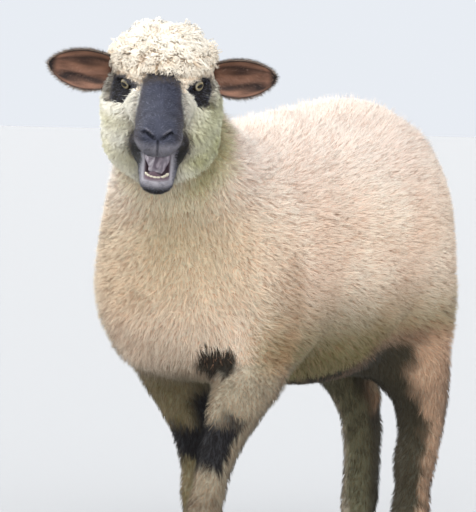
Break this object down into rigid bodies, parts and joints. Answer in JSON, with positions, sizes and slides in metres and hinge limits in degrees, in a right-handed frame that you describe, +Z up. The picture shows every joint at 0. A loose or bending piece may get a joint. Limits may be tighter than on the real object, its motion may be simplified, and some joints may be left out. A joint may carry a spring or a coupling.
{
  "type": "sheep",
  "caption": "Life-size standing sheep with a dark bare face and legs, cream-buff fleece, head turned to its left and mouth open as if calling or chewing; a still display model.",
  "frame": {"origin": "on the floor, under the middle of the animal's box", "axes": "+Z up; the animal faces -Y and its left side is +X"},
  "size_m": [0.3968, 0.99, 0.84],
  "materials": {
    "fleece": "dense cream-buff wool with fawn tips, matt",
    "face_wool": "short cream cheek wool and curly topknot round a blue-black bare face",
    "tail_wool": "long wool, buff above and darker to the tip",
    "leg_wool": "short dark brown and fawn wool, black over the knees",
    "bare_skin": "blue-black lips and chin, satin and slightly moist",
    "tongue": "grey-pink, moist",
    "ear": "black-brown with red-brown lining and a grey furred rim",
    "eye": "amber brown with a dark bar pupil, wet gloss",
    "horn": "black hoof horn, matt with fine growth rings"
  },
  "bodies": {
    "root": {"ear_left": "ear", "ear_right": "ear", "eye_left": "eye", "eye_right": "eye", "forehoof_left_inner": "horn", "forehoof_left_outer": "horn", "forehoof_right_inner": "horn", "forehoof_right_outer": "horn", "foreleg_left": "leg_wool", "foreleg_right": "leg_wool", "head": "face_wool", "hindhoof_left_inner": "horn", "hindhoof_left_outer": "horn", "hindhoof_right_inner": "horn", "hindhoof_right_outer": "horn", "hindleg_left": "leg_wool", "hindleg_right": "leg_wool", "lower_jaw": "bare_skin", "neck": "fleece", "tail": "tail_wool", "tongue": "tongue", "trunk": "fleece"}
  },
  "joints": []
}
